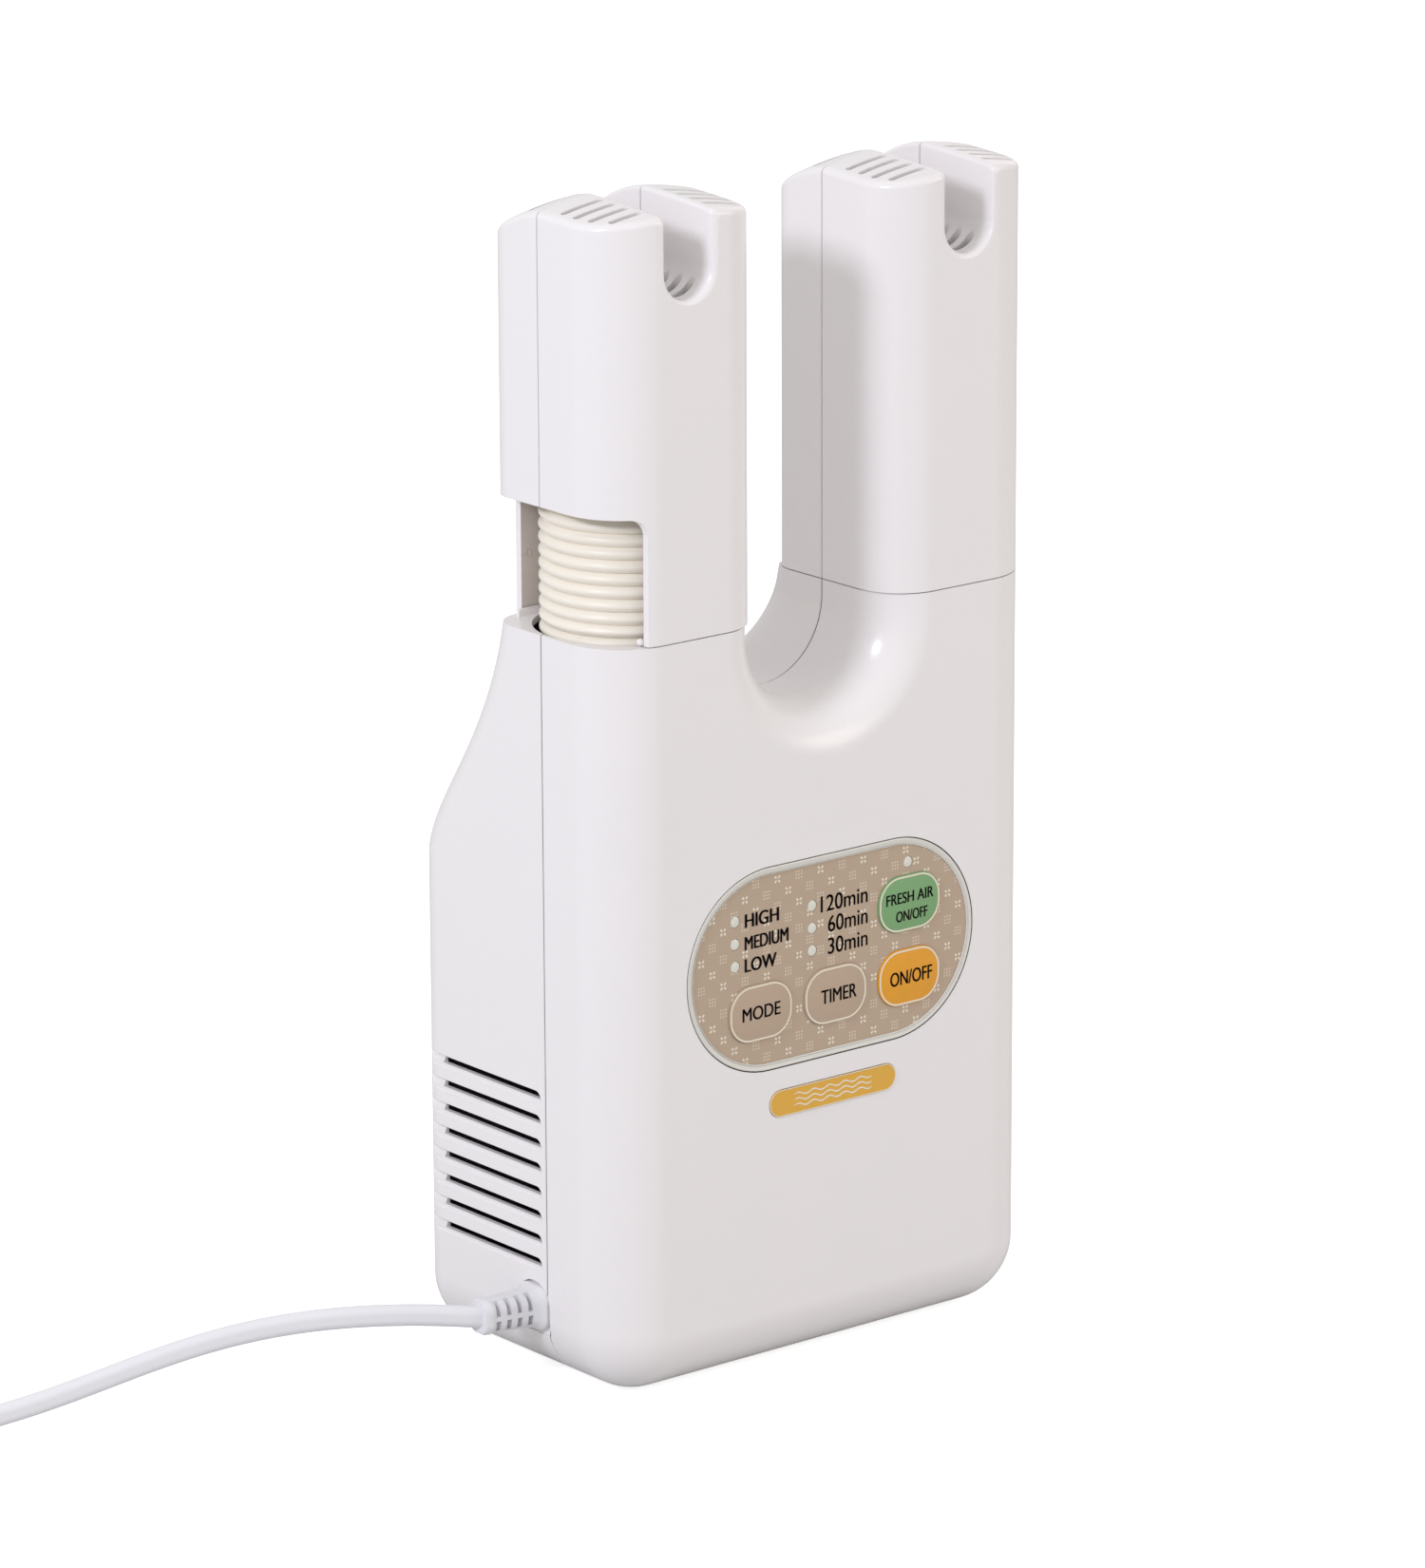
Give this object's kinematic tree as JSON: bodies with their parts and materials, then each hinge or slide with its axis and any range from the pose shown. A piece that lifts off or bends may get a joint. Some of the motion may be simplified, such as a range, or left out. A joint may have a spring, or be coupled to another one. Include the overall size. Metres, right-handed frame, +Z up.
{
  "type": "boot dryer",
  "caption": "Upright warm-air boot dryer: flat body with fan and heater, twin lift-up nozzles on bellows hoses, membrane key panel and mains lead.",
  "frame": {"origin": "middle of the flat underside of the case, on the floor", "axes": "+Z up; the control panel faces -Y; +X to the right of someone facing the panel, so the mains lead leaves towards -X"},
  "size_m": [0.3797, 0.132, 0.3545],
  "materials": {
    "white_shell": "gloss white moulded ABS with a fine moulding sheen",
    "hose_cream": "satin cream polypropylene bellows",
    "panel_border": "light grey satin border",
    "panel_film": "printed tan film, fine satin",
    "key_tan": "printed satin key top",
    "key_orange": "printed satin key top",
    "key_green": "printed satin key top",
    "badge_yellow": "printed satin label",
    "light_white": "milky diffusing lens",
    "lead_white": "soft white PVC",
    "blade_brass": "bright stamped",
    "grey_plastic": "moulded, satin",
    "black_plastic": "moulded, satin",
    "board_green": "solder-resist green",
    "steel": "zinc plated",
    "heater_wire": "oxidised resistance ribbon",
    "mica": "pressed mica sheet",
    "rubber": "soft, matte"
  },
  "bodies": {
    "body": {"badge": "badge_yellow", "case_screw_1": "steel", "case_screw_2": "steel", "case_screw_3": "steel", "case_screw_4": "steel", "control_board": "board_green", "deodorizer_light_pipe": "light_white", "deodorizer_switch": "black_plastic", "duct_manifold": "grey_plastic", "fan_cover": "grey_plastic", "fan_housing": "grey_plastic", "fan_motor": "steel", "foot_1": "rubber", "foot_2": "rubber", "foot_3": "rubber", "foot_4": "rubber", "front_case": "white_shell", "heater_element": "heater_wire", "heater_frame": "mica", "hose_left": "hose_cream", "hose_right": "hose_cream", "hose_socket_left": "grey_plastic", "hose_socket_right": "grey_plastic", "mode_light_pipe": "light_white", "mode_switch": "black_plastic", "ozone_unit": "black_plastic", "panel_frame": "panel_border", "panel_overlay": "panel_film", "plug_blade_left": "blade_brass", "plug_blade_right": "blade_brass", "power_board": "board_green", "power_cord": "lead_white", "power_plug": "lead_white", "power_switch": "black_plastic", "rear_case": "white_shell", "strain_relief": "lead_white", "thermostat": "steel", "timer_light_pipe": "light_white", "timer_switch": "black_plastic", "transformer": "steel"},
    "nozzle_left": {"nozzle_left_front": "white_shell", "nozzle_left_rear": "white_shell", "hose_collar_left": "grey_plastic", "nozzle_screw_left": "steel"},
    "nozzle_right": {"nozzle_right_front": "white_shell", "nozzle_right_rear": "white_shell", "hose_collar_right": "grey_plastic", "nozzle_screw_right": "steel"},
    "fan_rotor": {"fan_impeller": "black_plastic", "motor_shaft": "steel"},
    "mode_key": {"mode_button": "key_tan"},
    "timer_key": {"timer_button": "key_tan"},
    "power_key": {"power_button": "key_orange"},
    "deodorizer_key": {"deodorizer_button": "key_green"}
  },
  "joints": [
    {"name": "nozzle_left_lift", "type": "slide", "parent": "body", "child": "nozzle_left", "axis": [0, 0, 1], "range_m": [0, 0.22], "deforming": ["hose_left"]},
    {"name": "nozzle_right_lift", "type": "slide", "parent": "body", "child": "nozzle_right", "axis": [0, 0, 1], "range_m": [0, 0.22], "deforming": ["hose_right"]},
    {"name": "mode_key_press", "type": "slide", "parent": "body", "child": "mode_key", "axis": [0, 1, 0], "range_m": [0, 0.0005], "stiffness_N_per_m": 600},
    {"name": "timer_key_press", "type": "slide", "parent": "body", "child": "timer_key", "axis": [0, 1, 0], "range_m": [0, 0.0005], "stiffness_N_per_m": 600},
    {"name": "power_key_press", "type": "slide", "parent": "body", "child": "power_key", "axis": [0, 1, 0], "range_m": [0, 0.0005], "stiffness_N_per_m": 600},
    {"name": "deodorizer_key_press", "type": "slide", "parent": "body", "child": "deodorizer_key", "axis": [0, 1, 0], "range_m": [0, 0.0005], "stiffness_N_per_m": 600},
    {"name": "fan_spin", "type": "hinge", "parent": "body", "child": "fan_rotor", "pos_m": [0.003, 0.0194, 0.062], "axis": [0, 1, 0], "continuous": true}
  ]
}
